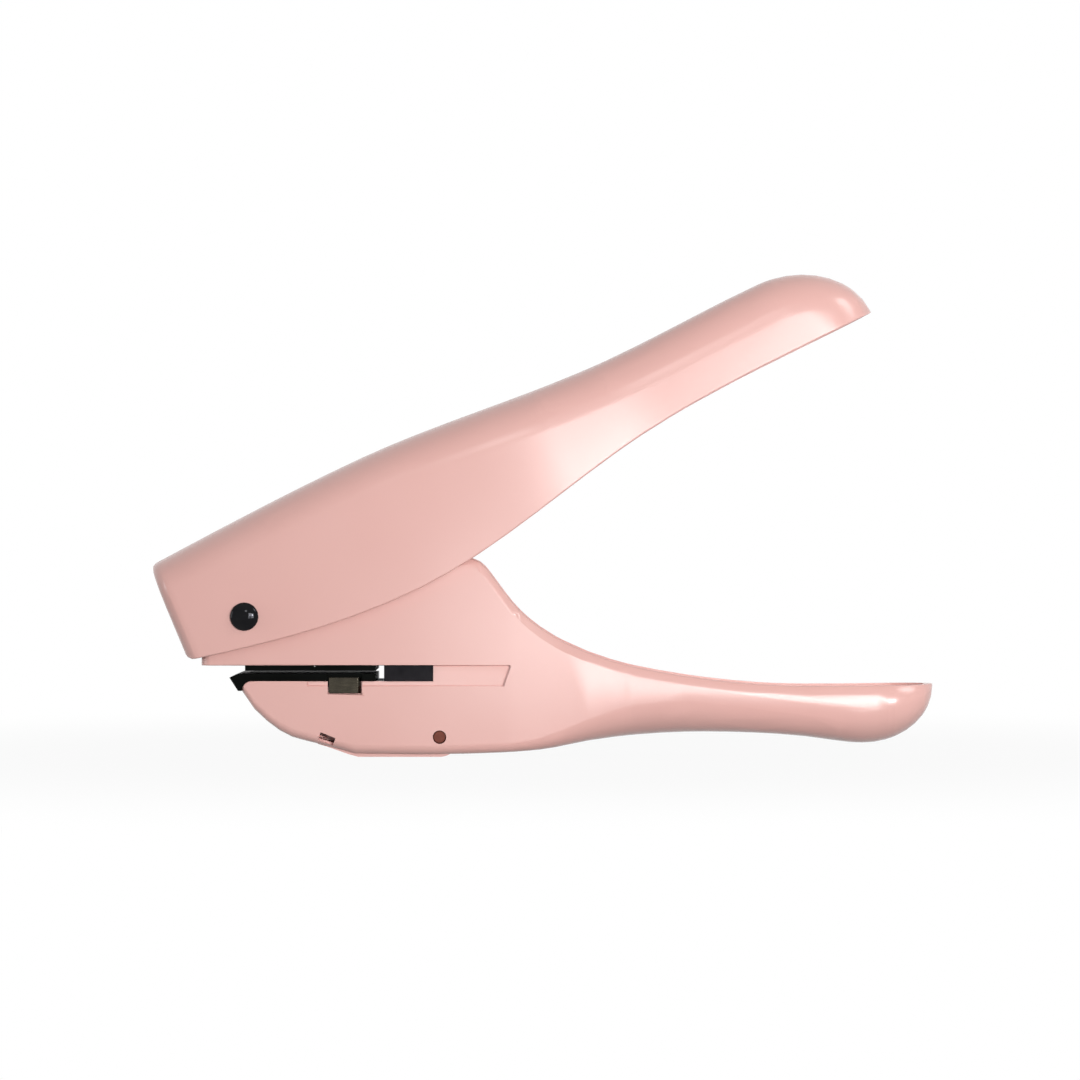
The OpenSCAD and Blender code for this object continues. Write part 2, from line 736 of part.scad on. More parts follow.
// Steel frame: two C-shaped plates joined by cross rivets through the blocks
frame_eye_r = 8;
frame_top_rise = 7;
frame_chamfer = 4;
frame_heel = 3;
frame_toe = 9;
arm_back = 1;
lower_back = 6.5;
lower_rise = 13.4;
lower_low_z = 9.6;
throat_len = 7;
frame_top_z = pivot_z + frame_top_rise;
arm_front_x = pivot_x + arm_back;
lower_front_x = pivot_x + lower_back;
throat_x = stop_x + throat_len;
rivet_edge = 3;
guide_front_len = 18;
guide_rear_len = 9.5;
die_rivet_pitch = 7.4;
block_rivet_z = slot_top_z + block_t / 2;
guide_rivet_front_x = punch_x - guide_front_len;
guide_rivet_rear_x = punch_x + guide_rear_len;
stop_rivet_x = throat_x + rivet_edge;
stop_rivet_z = (slot_floor_h + slot_top_z) / 2;
die_rivet_front_x = lower_front_x + rivet_edge + cover_side_gap;
die_rivet_rear_x = die_rivet_front_x + die_rivet_pitch;
die_rivet_z = slot_floor_h - rivet_edge;
cross_rivets = [
    [guide_rivet_front_x, block_rivet_z],
    [guide_rivet_rear_x, block_rivet_z],
    [stop_rivet_x, stop_rivet_z],
    [die_rivet_front_x, die_rivet_z],
    [die_rivet_rear_x, die_rivet_z]
];
module cross_holes() {
    for (r = cross_rivets)
        round_across(r[0], r[1], cross_d + 2 * tight_fit, -frame_out - past, frame_out + past);
}
module frame_outline() {
    polygon([
        [pivot_x, frame_top_z],
        [frame_rear_x - frame_chamfer, frame_top_z],
        [frame_rear_x, frame_top_z - frame_chamfer],
        [frame_rear_x, lower_low_z + frame_heel],
        [frame_rear_x - frame_heel, lower_low_z],
        [lower_front_x + frame_toe, lower_low_z],
        [lower_front_x, lower_rise],
        [lower_front_x, slot_floor_h],
        [throat_x, slot_floor_h],
        [throat_x, slot_top_z],
        [arm_front_x, slot_top_z],
        [pivot_x - frame_eye_r / 2, pivot_z]
    ]);
}
module frame_plate() {
    difference() {
        union() {
            across(-frame_out, -frame_in) frame_outline();
            round_across(pivot_x, pivot_z, 2 * frame_eye_r, -frame_out, -frame_in);
        }
        round_across(pivot_x, pivot_z, pivot_d + 2 * tight_fit, -frame_out - past, frame_out + past);
        cross_holes();
    }
}
module frame_plate_near() {
    color("#aeb2b7") difference() {
        frame_plate();
        strip_cut();
    }
}
module frame_plate_far() {
    color("#a5a9ae") mirror([0, 1, 0]) frame_plate();
}
module frame_rivets() {
    color("#8d9196") for (r = cross_rivets) round_across(r[0], r[1], cross_d, -frame_out, frame_out);
}

// Outline of the punched hole, seen from above, with its open end at the edge of the sheet
module hole_outline(grow, open_end) {
    translate([stop_x, 0]) {
        translate([-hole_stem_len - past, -hole_stem_w / 2 - grow])
            square([hole_stem_len + past + open_end, hole_stem_w + 2 * grow]);
        intersection() {
            translate([hole_head_r - hole_depth, 0]) circle(r = hole_head_r + grow);
            translate([-hole_depth - grow, -hole_head_w / 2 - grow])
                square([hole_depth - hole_stem_len + 2 * grow, hole_head_w + 2 * grow]);
        }
    }
}
module drive_slot() {
    translate([drive_x + drive_swing / 2, 0, drive_z])
        cube([drive_d + drive_swing + 4 * drive_play, 2 * cap_d, drive_d + 2 * drive_play], center = true);
}
module punch() {
    color("#c4c7cb") difference() {
        translate([0, 0, punch_low_z]) linear_extrude(cap_top_z - punch_low_z) hole_outline(0, -punch_edge);
        drive_slot();
    }
}
module spring_cap() {
    color("#3a3c40") difference() {
        translate([punch_x, 0, cap_low_z]) {
            cylinder(d = spring_d - shell_fit, h = cap_flange_t);
            cylinder(d = cap_d, h = cap_top_z - cap_low_z);
        }
        translate([0, 0, cap_low_z - past])
            linear_extrude(cap_top_z - cap_low_z + 2 * past) hole_outline(run_fit, run_fit - punch_edge);
        drive_slot();
    }
}

// Return spring: one unbroken helix between the guide block and the cap
spring_touch = 0.05;
ring_sides = 6;
spring_low_z = spring_seat_z + spring_wire / 2 + spring_touch;
spring_pitch = (cap_low_z - spring_seat_z - spring_wire - 2 * spring_touch) / spring_coils;
function coil_point(turn) = [
    punch_x + spring_mean_r * cos(360 * turn),
    spring_mean_r * sin(360 * turn),
    spring_low_z + spring_pitch * turn
];
function coil_ring(turn) = [
    for (s = [0 : ring_sides - 1])
        let (a = 360 * s / ring_sides, r = spring_mean_r + spring_wire / 2 * cos(a))
        [
            punch_x + r * cos(360 * turn),
            r * sin(360 * turn),
            spring_low_z + spring_pitch * turn + spring_wire / 2 * sin(a)
        ]
];
module return_spring() {
    turns = [for (i = [0 : spring_coils * rings_a_coil]) i / rings_a_coil];
    last = (len(turns) - 1) * ring_sides;
    faces = concat(
        [for (i = [0 : len(turns) - 2], s = [0 : ring_sides - 1])
            let (a = i * ring_sides + s, b = i * ring_sides + (s + 1) % ring_sides)
            each [[a, b, b + ring_sides], [a, b + ring_sides, a + ring_sides]]],
        [for (s = [1 : ring_sides - 2]) [0, s + 1, s]],
        [for (s = [1 : ring_sides - 2]) [last, last + s, last + s + 1]]
    );
    color("#d9dbde") polyhedron([for (t = turns) each coil_ring(t)], faces);
}
// Least gap between one coil and the next, measured on points half a turn or more apart
coil_points = [for (i = [0 : spring_coils * rings_a_coil]) coil_point(i / rings_a_coil)];
coil_gap = min([
    for (i = [0 : len(coil_points) - 1], j = [i + rings_a_coil / 2 : len(coil_points) - 1])
        norm(coil_points[i] - coil_points[j]) - spring_wire
]);
echo(least_gap_between_coils = coil_gap);

// Hole locator: where its strip and its tab lie
tab_drop = 3.2;
tab_t = 1;
tab_chamfer = 0.8;
tab_inset = 0.1;
strip_front_x = pivot_x + tab_back;
strip_top_z = slot_floor_h - slide_gap;
strip_low_z = strip_top_z - strip_t;
tab_low_z = slot_floor_h - tab_drop;
tab_front_y = body_out - tab_inset;
tab_back_y = tab_front_y - tab_t - slide_gap;
strip_far_y = frame_in - slide_gap;

// Guide block and guide plate above the paper
guide_screw_back = 4.6;
guide_block_front_x = guide_rivet_front_x - rivet_edge;
guide_block_rear_x = guide_rivet_rear_x + rivet_edge;
guide_screw_x = guide_rivet_front_x + guide_screw_back;
screw_side = 5;
sink_depth = 1.2;
block_screw_len = 3;
module guide_block() {
    color("#7c8086") difference() {
        union() {
            difference() {
                translate([guide_block_front_x, -frame_in, slot_top_z])
                    cube([guide_block_rear_x - guide_block_front_x, 2 * frame_in, block_t]);
                translate([punch_x, 0, spring_seat_z]) cylinder(d = spring_pocket_d, h = block_t);
            }
            translate([punch_x, 0, slot_top_z]) cylinder(d = boss_d, h = boss_top_z - slot_top_z);
        }
        translate([0, 0, slot_top_z - past])
            linear_extrude(boss_top_z - slot_top_z + 2 * past) hole_outline(run_fit, run_fit - punch_edge);
        cross_holes();
        both_sides() translate([guide_screw_x, screw_side, slot_top_z - past])
            cylinder(d = screw_d + 2 * tight_fit, h = block_screw_len + past);
    }
}
// Countersunk screw, head at z = 0 and shank along +Z
module sunk_screw(grow, shank) {
    cylinder(d1 = screw_head_d + 2 * grow, d2 = screw_d + 2 * grow, h = sink_depth);
    cylinder(d = screw_d + 2 * grow, h = shank);
}
module guide_plate() {
    color("#1d1f21") difference() {
        translate([pivot_x, -plate_half, guide_z])
            cube([plate_rear_x - pivot_x, 2 * plate_half, guide_t]);
        translate([0, 0, guide_z - past]) linear_extrude(guide_t + 2 * past) hole_outline(run_fit, past);
        both_sides() translate([guide_screw_x, screw_side, guide_z]) sunk_screw(tight_fit, guide_t + past);
    }
}
module guide_screws() {
    color("#2b2d30") both_sides() translate([guide_screw_x, screw_side, guide_z])
        sunk_screw(0, guide_t + block_screw_len - screw_end_gap);
}

// Die block and die plate below the paper
die_block_front_x = lower_front_x + cover_side_gap;
die_block_rear_x = strip_front_x - slide_gap;
die_screw_x = (die_rivet_front_x + die_rivet_rear_x) / 2;
die_block_low_z = die_rivet_z - rivet_edge;
die_block_chamfer = 1.8;
module die_block() {
    color("#75797e") difference() {
        across(-frame_in, frame_in) polygon([
            [die_block_front_x, slot_floor_h],
            [die_block_front_x, die_block_low_z + die_block_chamfer],
            [die_block_front_x + die_block_chamfer, die_block_low_z],
            [die_block_rear_x, die_block_low_z],
            [die_block_rear_x, slot_floor_h]
        ]);
        cross_holes();
        both_sides() translate([die_screw_x, screw_side, slot_floor_h - block_screw_len])
            cylinder(d = screw_d + 2 * tight_fit, h = block_screw_len + past);
    }
}
lip_t = 0.9;
lip_bevel = 2.4;
lip_edge = 1;
module die_outline() {
    difference() {
        polygon([
            [die_front_x, die_z - lip_edge],
            [die_front_x + lip_bevel, die_z],
            [plate_rear_x, die_z],
            [plate_rear_x, slot_floor_h],
            [jaw_front_x + jaw_corner_in + jaw_corner_r, slot_floor_h],
            [jaw_front_x + jaw_corner_in + jaw_corner_r, jaw_front_h],
            [jaw_front_x - lip_t, jaw_front_h]
        ]);
        jaw_corner(tight_fit);
    }
}
module die_plate() {
    color("#17191b") difference() {
        across(-plate_half, plate_half) die_outline();
        translate([0, 0, slot_floor_h - past]) linear_extrude(die_t + 2 * past) hole_outline(run_fit, past);
        both_sides() translate([die_screw_x, screw_side, die_z]) mirror([0, 0, 1])
            sunk_screw(tight_fit, die_t + past);
        translate([strip_front_x - slide_gap, -plate_half - past, slot_floor_h - past])
            cube([tab_w + 2 * slide_gap, plate_half - tab_back_y + past, die_t + 2 * past]);
    }
}
module die_screws() {
    color("#2b2d30") both_sides() translate([die_screw_x, screw_side, die_z]) mirror([0, 0, 1])
        sunk_screw(0, die_t + block_screw_len - screw_end_gap);
}
module stop_block() {
    color("#2a2c2f") difference() {
        translate([stop_x, -plate_half, slot_floor_h])
            cube([stop_len, 2 * plate_half, slot_top_z - slot_floor_h]);
        both_sides() translate([throat_x - tight_fit, frame_in - tight_fit, slot_floor_h - past])
            cube([stop_len, frame_t + 2 * tight_fit, slot_top_z - slot_floor_h + 2 * past]);
        cross_holes();
    }
}

// Rooms in the walls for the strip to slide through and for the tab to rest in
module strip_cut() {
    translate([strip_front_x - slide_gap, -body_out - past, strip_low_z - slide_gap])
        cube([strip_w + 2 * slide_gap, body_out + past, slot_floor_h - strip_low_z + slide_gap + past]);
}
module tab_cut() {
    translate([strip_front_x - slide_gap, -body_out - past, tab_low_z - slide_gap])
        cube([
            tab_w + 2 * slide_gap,
            body_out + past - tab_back_y,
            slot_floor_h - tab_low_z + slide_gap + past
        ]);
}
// Hole locator: a strip that slides out under the die plate, with a finger tab on its near end
module hole_locator() {
    tab_rear_x = strip_front_x + tab_w;
    color("#c8cbcf") {
        translate([strip_front_x, -tab_front_y, strip_low_z])
            cube([strip_w, tab_front_y + strip_far_y, strip_t]);
        translate([0, 0, tab_low_z]) linear_extrude(tab_h) polygon([
            [strip_front_x, -tab_front_y],
            [tab_rear_x - tab_chamfer, -tab_front_y],
            [tab_rear_x, tab_chamfer - tab_front_y],
            [tab_rear_x, tab_t - tab_front_y],
            [strip_front_x, tab_t - tab_front_y]
        ]);
    }
}

// Chip cover: a bottom plate that follows the jaw, stands up at its latch and curls round its hinge
curl_angle = 45;
lug_t = 2.6;
lug_wall = 1.4;
lug_foot = 4;
lug_lean = 40;
lug_r = hinge_d / 2 + lug_wall;
cover_steps = 12;
curl_steps = 6;
module cover_outline() {
    run = hinge_x - cover_front_x;
    low = [for (i = [0 : cover_steps]) let (x = cover_front_x + run * i / cover_steps) [x, cover_low(x)]];
    curl = [for (i = [1 : curl_steps]) let (a = curl_angle * i / curl_steps)
        [hinge_x + hinge_h * sin(a), hinge_h - hinge_h * cos(a)]];
    inner_curl = [for (i = [curl_steps : -1 : 0]) let (a = curl_angle * i / curl_steps)
        [hinge_x + (hinge_h - cover_t) * sin(a), hinge_h - (hinge_h - cover_t) * cos(a)]];
    high = [for (i = [cover_steps - 1 : -1 : 0]) let (x = cover_front_x + run * i / cover_steps)
        [x, cover_low(x) + cover_t]];
    polygon(concat(low, curl, inner_curl, high));
}
// Upright behind the latch window, set in from the walls
module latch_outline() {
    foot = cover_low(cover_front_x) + cover_t / 2;
    translate([cover_front_x, foot]) square([latch_t, latch_top_z - foot]);
}
module chip_cover() {
    color("#dfaea6") difference() {
        union() {
            across(-cover_half, cover_half) cover_outline();
            across(-latch_half, latch_half) latch_outline();
            both_sides() across(-cover_half, -cover_half + lug_t) {
                translate([hinge_x, hinge_h]) circle(r = lug_r);
                polygon([
                    [hinge_x - lug_r, hinge_h],
                    [hinge_x - lug_r - lug_foot, cover_t / 2],
                    [hinge_x, cover_t / 2],
                    [hinge_x + lug_r * cos(lug_lean), hinge_h - lug_r * sin(lug_lean)]
                ]);
            }
        }
        round_across(hinge_x, hinge_h, hinge_d + 2 * run_fit, -cover_half - past, cover_half + past);
    }
}
hinge_pin_recess = 1;
module chip_cover_pin() {
    end = body_out - hinge_pin_recess;
    color("#5d4a46") round_across(hinge_x, hinge_h, hinge_d, -end, end);
}

body_shell();
frame_plate_near();
frame_plate_far();
frame_rivets();
guide_block();
guide_plate();
guide_screws();
die_block();
die_plate();
die_screws();
stop_block();
pivot_rivet();
handle_shell();
lever();
drive_pin();
lever_screws();
punch();
spring_cap();
return_spring();
hole_locator();
chip_cover();
chip_cover_pin();
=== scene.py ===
"""Looks of a hand punch for disc-bound pages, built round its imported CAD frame.

Every visible piece is a finished copy of its CAD node or is modelled on the node's place and size.
Lengths are in millimetres where a name ends in _mm and in metres in the meshes.
"""

from __future__ import annotations

import logging
import math
from dataclasses import dataclass
from enum import Enum
from typing import Any, Callable, Mapping, Sequence

import bmesh
import bpy
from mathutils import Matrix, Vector


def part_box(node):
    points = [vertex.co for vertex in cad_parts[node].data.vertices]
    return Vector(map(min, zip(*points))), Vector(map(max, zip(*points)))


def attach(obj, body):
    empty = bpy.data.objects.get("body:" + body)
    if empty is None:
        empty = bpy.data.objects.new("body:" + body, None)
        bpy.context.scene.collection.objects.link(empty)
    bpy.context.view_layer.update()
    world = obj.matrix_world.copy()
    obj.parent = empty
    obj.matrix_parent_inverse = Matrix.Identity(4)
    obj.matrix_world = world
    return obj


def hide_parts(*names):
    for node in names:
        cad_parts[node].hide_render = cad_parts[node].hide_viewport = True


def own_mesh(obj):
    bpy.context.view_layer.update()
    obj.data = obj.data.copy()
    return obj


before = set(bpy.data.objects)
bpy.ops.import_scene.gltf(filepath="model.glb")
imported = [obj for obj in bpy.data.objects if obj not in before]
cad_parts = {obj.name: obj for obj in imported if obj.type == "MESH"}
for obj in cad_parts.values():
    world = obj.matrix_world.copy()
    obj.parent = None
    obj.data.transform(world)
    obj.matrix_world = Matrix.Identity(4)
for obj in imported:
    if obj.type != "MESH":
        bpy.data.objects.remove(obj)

LOG = logging.getLogger("punch")
MM = 0.001
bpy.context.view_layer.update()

# Part of a noise's range over which the gloss runs from its lowest to its highest
GRAIN_SPAN = (0.3, 0.7)
GRAIN_DETAIL = 3.0
GRAIN_ROUGHNESS = 0.6
# Where the main colour starts to give way to the second one, and where it has
DRIFT_SPAN = (0.35, 0.7)
DRIFT_DETAIL = 2.0


class Rides(Enum):
    """CAD bodies that pieces move with."""

    FRAME = "body"
    HANDLE = "handle"
    PUNCH = "punch"
    DOOR = "chip_door"
    GAUGE = "locator"


class Slot(Enum):
    """Names of the material slots."""

    PINK_SHELL = "pink_shell"
    PINK_COVER = "pink_cover"
    BRIGHT_RIVET = "bright_rivet"
    BLACK_PLATE = "black_plate"
    DARK_BLOCK = "dark_block"
    FRAME_STEEL = "frame_steel"
    LEVER_STEEL = "lever_steel"
    TOOL_STEEL = "tool_steel"
    SCREW_STEEL = "screw_steel"
    SPRING_STEEL = "spring_steel"
    GAUGE_STEEL = "gauge_steel"
    BLACK_PLASTIC = "black_plastic"


def linear(code: str) -> tuple[float, float, float, float]:
    """Turns an sRGB hex colour into linear light.

    Args:
        code: Colour as "#rrggbb".

    Returns:
        Red, green, blue and an alpha of 1.
    """
    parts = [int(code[i : i + 2], 16) / 255 for i in (1, 3, 5)]
    red, green, blue = (c / 12.92 if c <= 0.04045 else ((c + 0.055) / 1.055) ** 2.4 for c in parts)
    return red, green, blue, 1.0


def per_metre(size_mm: float) -> float:
    """Gives the texture scale whose features are about size_mm wide.

    Args:
        size_mm: Width of one feature of the pattern in millimetres.

    Returns:
        Scale for a pattern on Object coordinates, which are in metres.
    """
    return 1 / (size_mm * MM)


def add_node(
    tree: bpy.types.NodeTree, kind: str, inputs: Mapping[Any, Any] | None = None, **settings: Any
) -> bpy.types.Node:
    """Adds a node with its settings, values and links.

    Args:
        tree: Node tree that gets the node.
        kind: Blender's name of the node type.
        inputs: Value or output socket for each input, by its name or number.
        **settings: Properties of the node itself.

    Returns:
        The new node.
    """
    node = tree.nodes.new(kind)
    for name, value in settings.items():
        setattr(node, name, value)
    for key, value in (inputs or {}).items():
        if isinstance(value, bpy.types.NodeSocket):
            tree.links.new(value, node.inputs[key])
        else:
            node.inputs[key].default_value = value
    return node


@dataclass(frozen=True)
class Finish:
    """One surface as a maker would order it.

    Fields:
        name: What the material is and how its surface was made.
        colour: Main colour.
        tone: Second colour that the first drifts to in places.
        drift_mm: Size of the patches of the second colour.
        grain_mm: Size of the surface's own grain.
        stretch: How much longer the grain is along each axis.
        relief_mm: Height of the grain.
        gloss: Lowest and highest roughness.
        metallic: 1 for bare metal and 0 for plastic.
        ior: Refractive index, which stays at the default for metal.
        speck: Colour of sparse specks, or nothing.
        speck_mm: Distance between specks.
        speck_share: Radius of a speck as a share of that distance.
    """

    name: str
    colour: str
    tone: str
    drift_mm: float
    grain_mm: float
    stretch: tuple[float, float, float]
    relief_mm: float
    gloss: tuple[float, float]
    metallic: float = 0.0
    ior: float = 1.5
    speck: str = ""
    speck_mm: float = 4.0
    speck_share: float = 0.06

    def material(self) -> bpy.types.Material:
        """Makes the node material, once for each finish.

        Returns:
            The material, from an earlier call where there was one.
        """
        known = bpy.data.materials.get(self.name)
        if known:
            return known
        made = bpy.data.materials.new(self.name)
        made.use_nodes = True
        tree = made.node_tree
        tree.nodes.clear()
        place = add_node(tree, "ShaderNodeTexCoord").outputs["Object"]
        colour = self._colour(tree, place)
        along = add_node(
            tree,
            "ShaderNodeMapping",
            {"Vector": place, "Scale": [1 / s for s in self.stretch]},
            vector_type="POINT",
        ).outputs["Vector"]
        grain = add_node(
            tree,
            "ShaderNodeTexNoise",
            {
                "Vector": along,
                "Scale": per_metre(self.grain_mm),
                "Detail": GRAIN_DETAIL,
                "Roughness": GRAIN_ROUGHNESS,
            },
        ).outputs["Fac"]
        gloss = add_node(
            tree,
            "ShaderNodeMapRange",
            {
                "Value": grain,
                "From Min": GRAIN_SPAN[0],
                "From Max": GRAIN_SPAN[1],
                "To Min": self.gloss[0],
                "To Max": self.gloss[1],
            },
        ).outputs["Result"]
        relief = add_node(
            tree,
            "ShaderNodeBump",
            {"Height": grain, "Distance": self.relief_mm * MM, "Strength": 1.0},
        ).outputs["Normal"]
        shader = add_node(
            tree,
            "ShaderNodeBsdfPrincipled",
            {
                "Base Color": colour,
                "Roughness": gloss,
                "Normal": relief,
                "Metallic": self.metallic,
                "IOR": self.ior,
            },
        )
        add_node(tree, "ShaderNodeOutputMaterial", {"Surface": shader.outputs["BSDF"]})
        return made

    def _colour(self, tree: bpy.types.NodeTree, place: bpy.types.NodeSocket) -> bpy.types.NodeSocket:
        """Makes the colour: two close tones, with specks where the finish has them.

        Args:
            tree: Node tree of the material.
            place: Object coordinates.

        Returns:
            Socket that carries the colour.
        """
        drift = add_node(
            tree,
            "ShaderNodeTexNoise",
            {"Vector": place, "Scale": per_metre(self.drift_mm), "Detail": DRIFT_DETAIL},
        ).outputs["Fac"]
        tones = add_node(tree, "ShaderNodeValToRGB", {"Fac": drift})
        for stop, code in enumerate((self.colour, self.tone)):
            tones.color_ramp.elements[stop].position = DRIFT_SPAN[stop]
            tones.color_ramp.elements[stop].color = linear(code)
        if not self.speck:
            return tones.outputs["Color"]
        cells = add_node(
            tree,
            "ShaderNodeTexVoronoi",
            {"Vector": place, "Scale": per_metre(self.speck_mm), "Randomness": 1.0},
            feature="F1",
        ).outputs["Distance"]
        inside = add_node(
            tree, "ShaderNodeMath", {0: cells, 1: self.speck_share}, operation="LESS_THAN"
        ).outputs["Value"]
        # Sockets of this node's colour version: 0 is the factor, 6 and 7 the colours, 2 the result
        mixed = add_node(
            tree,
            "ShaderNodeMix",
            {0: inside, 6: tones.outputs["Color"], 7: linear(self.speck)},
            data_type="RGBA",
        )
        return mixed.outputs[2]


# Moulded ABS from a spark-eroded tool: satin, one even pink, broad soft highlights.
# The real texture is about 0.1 mm and is drawn coarser so that it shows at all.
PINK_ABS = Finish(
    "abs_moulded_satin_pink",
    colour="#e6b5ad",
    tone="#e3b0a8",
    drift_mm=45,
    grain_mm=0.7,
    stretch=(1, 1, 1),
    relief_mm=0.004,
    gloss=(0.2, 0.25),
    ior=1.54,
)
# The cover comes out of another tool with a slightly duller skin.
PINK_COVER = Finish(
    "abs_moulded_satin_pink_cover",
    colour="#e2b1aa",
    tone="#dfaca5",
    drift_mm=30,
    grain_mm=0.7,
    stretch=(1, 1, 1),
    relief_mm=0.005,
    gloss=(0.34, 0.4),
    ior=1.54,
)
# Polished plated dome whose near-black colour is a painted reflection: it stands in for the dark
# surroundings that the dome mirrors. A lamp gives it a small hard glint, and it has polishing marks.
RIVET_PAINTED_DARK_REFLECTION = Finish(
    "steel_polished_painted_dark_reflection",
    colour="#212122",
    tone="#1c1c1e",
    drift_mm=3,
    grain_mm=0.25,
    stretch=(1, 1, 1),
    relief_mm=0.0004,
    gloss=(0.03, 0.06),
    metallic=1.0,
)
# Ground steel blackened in hot salts: near black, grinding lines along the plate, bright nicks.
BLACK_OXIDE = Finish(
    "steel_ground_black_oxide",
    colour="#0b0c0b",
    tone="#070807",
    drift_mm=9,
    grain_mm=0.25,
    stretch=(40, 1, 1),
    relief_mm=0.002,
    gloss=(0.36, 0.5),
    metallic=1.0,
    speck="#9a9a94",
    speck_mm=3.2,
    speck_share=0.05,
)
# Phosphated block: matt charcoal with a fine crystalline grain.
PHOSPHATE = Finish(
    "steel_milled_phosphated",
    colour="#1d1c1e",
    tone="#0f0e10",
    drift_mm=6,
    grain_mm=0.4,
    stretch=(1, 1, 6),
    relief_mm=0.004,
    gloss=(0.45, 0.6),
    metallic=1.0,
)
# Bright zinc on pressed sheet: cool grey, soft rolling lines, faint cloudiness.
ZINC_SHEET = Finish(
    "steel_pressed_zinc_plated",
    colour="#b4b8bc",
    tone="#a3a7ab",
    drift_mm=7,
    grain_mm=0.3,
    stretch=(14, 14, 1),
    relief_mm=0.003,
    gloss=(0.28, 0.42),
    metallic=1.0,
)
# Lever pressed from thicker strip with a warmer passivation.
ZINC_LEVER = Finish(
    "steel_pressed_yellow_passivated",
    colour="#bdb79f",
    tone="#b0a78c",
    drift_mm=6,
    grain_mm=0.3,
    stretch=(14, 14, 1),
    relief_mm=0.003,
    gloss=(0.3, 0.44),
    metallic=1.0,
)
# Hardened and ground tool steel: bright, with fine lines along the stroke.
TOOL_STEEL = Finish(
    "steel_hardened_ground",
    colour="#c6c9cc",
    tone="#b8bbbf",
    drift_mm=5,
    grain_mm=0.12,
    stretch=(1, 1, 40),
    relief_mm=0.0015,
    gloss=(0.16, 0.26),
    metallic=1.0,
)
# Turned and zinc-plated screws and rivets.
SCREW_ZINC = Finish(
    "steel_turned_zinc_plated",
    colour="#bfc2c5",
    tone="#adb1b5",
    drift_mm=2,
    grain_mm=0.2,
    stretch=(1, 1, 1),
    relief_mm=0.002,
    gloss=(0.22, 0.34),
    metallic=1.0,
)
# Patented spring wire: drawn lines, a thin oil film that warms the grey.
SPRING_WIRE = Finish(
    "steel_wire_cold_drawn",
    colour="#a9a8a4",
    tone="#96948f",
    drift_mm=2,
    grain_mm=0.15,
    stretch=(1, 1, 1),
    relief_mm=0.001,
    gloss=(0.2, 0.3),
    metallic=1.0,
)
# Rolled strip with a dark olive passivation: a dull sheen with lines along the strip.
OLIVE_STRIP = Finish(
    "steel_rolled_olive_passivated",
    colour="#3e3a32",
    tone="#302d27",
    drift_mm=4,
    grain_mm=0.2,
    stretch=(20, 1, 1),
    relief_mm=0.002,
    gloss=(0.2, 0.32),
    metallic=1.0,
)
# Turned hinge pin in a brown that is painted shade: it stands in for the shade inside its hole, and it
# hardly shines.
PIN_PAINTED_HOLE_SHADE = Finish(
    "steel_turned_painted_hole_shade",
    colour="#5c362e",
    tone="#523029",
    drift_mm=1.5,
    grain_mm=0.2,
    stretch=(1, 1, 1),
    relief_mm=0.002,
    gloss=(0.4, 0.55),
    metallic=1.0,
)
# Machined acetal: slippery, slightly waxy black with faint turning marks.
BLACK_ACETAL = Finish(
    "acetal_turned_black",
    colour="#1c1d1f",
    tone="#232426",
    drift_mm=5,
    grain_mm=0.3,
    stretch=(30, 30, 1),
    relief_mm=0.003,
    gloss=(0.32, 0.42),
    ior=1.48,
)


def deselect_all() -> None:
    """Clears the selection, since the loaded nodes come in selected."""
    bpy.ops.object.select_all(action="DESELECT")


def hold(piece: bpy.types.Object) -> None:
    """Makes one piece the selected and active object.

    Args:
        piece: Object in object mode.
    """
    deselect_all()
    piece.select_set(True)
    bpy.context.view_layer.objects.active = piece


def pick_faces(piece: bpy.types.Object, test: Callable[[bmesh.types.BMFace], bool]) -> None:
    """Selects faces of the piece in edit mode.

    Args:
        piece: Object that is in edit mode.
        test: Says whether a face is selected.
    """
    bpy.ops.mesh.select_mode(type="FACE")
    bpy.ops.mesh.select_all(action="DESELECT")
    mesh = bmesh.from_edit_mesh(piece.data)
    for face in [face for face in mesh.faces if test(face)]:
        face.select = True
    bmesh.update_edit_mesh(piece.data)


def pick_edges(piece: bpy.types.Object, test: Callable[[bmesh.types.BMEdge], bool]) -> int:
    """Selects edges of the piece in edit mode.

    Args:
        piece: Object that is in edit mode.
        test: Says whether an edge is selected.

    Returns:
        Number of edges selected.
    """
    bpy.ops.mesh.select_mode(type="EDGE")
    bpy.ops.mesh.select_all(action="DESELECT")
    mesh = bmesh.from_edit_mesh(piece.data)
    mesh.normal_update()
    chosen = [edge for edge in mesh.edges if test(edge)]
    for edge in chosen:
        edge.select = True
    bmesh.update_edit_mesh(piece.data)
    return len(chosen)


def is_corner(edge: bmesh.types.BMEdge, degrees: float) -> bool:
    """Says whether the two faces at an edge meet at more than an angle.

    Args:
        edge: Edge of a closed mesh.
        degrees: Least angle between the faces' normals.

    Returns:
        True at a corner.
    """
    return edge.is_manifold and edge.calc_face_angle() > math.radians(degrees)


